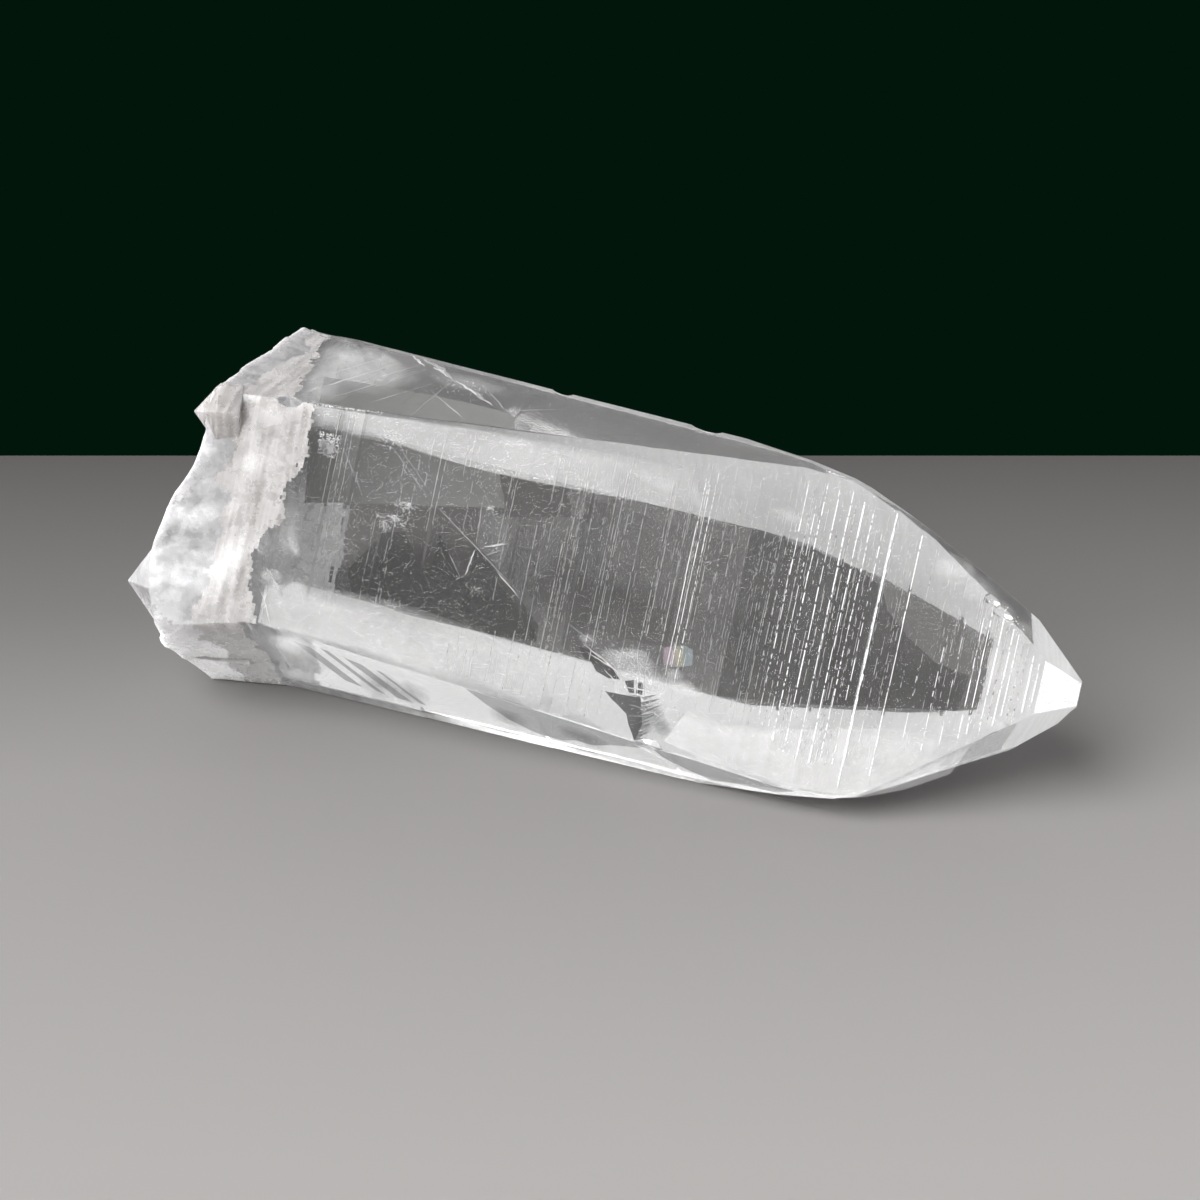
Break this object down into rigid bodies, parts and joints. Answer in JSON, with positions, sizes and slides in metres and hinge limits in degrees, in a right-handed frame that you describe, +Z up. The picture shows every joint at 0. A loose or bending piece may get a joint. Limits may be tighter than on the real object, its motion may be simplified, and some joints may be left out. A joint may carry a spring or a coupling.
{
  "type": "quartz crystal point",
  "caption": "Clear quartz crystal point lying on a prism face, with striated faces, an off-centre pointed tip and a frosted broken root.",
  "frame": {"origin": "Under the middle of the crystal's box, on the flat face that it lies on.", "axes": "+X runs along the crystal from the broken root to the tip, -Y is the side of the large front face, +Z is up."},
  "size_m": [0.1014, 0.0408, 0.0351],
  "materials": {
    "clear_quartz": "Colourless see-through quartz with glassy striated faces, milky and frosted at the broken root, with white veils inside."
  },
  "bodies": {
    "root": {"quartz_crystal": "clear_quartz"}
  },
  "joints": []
}
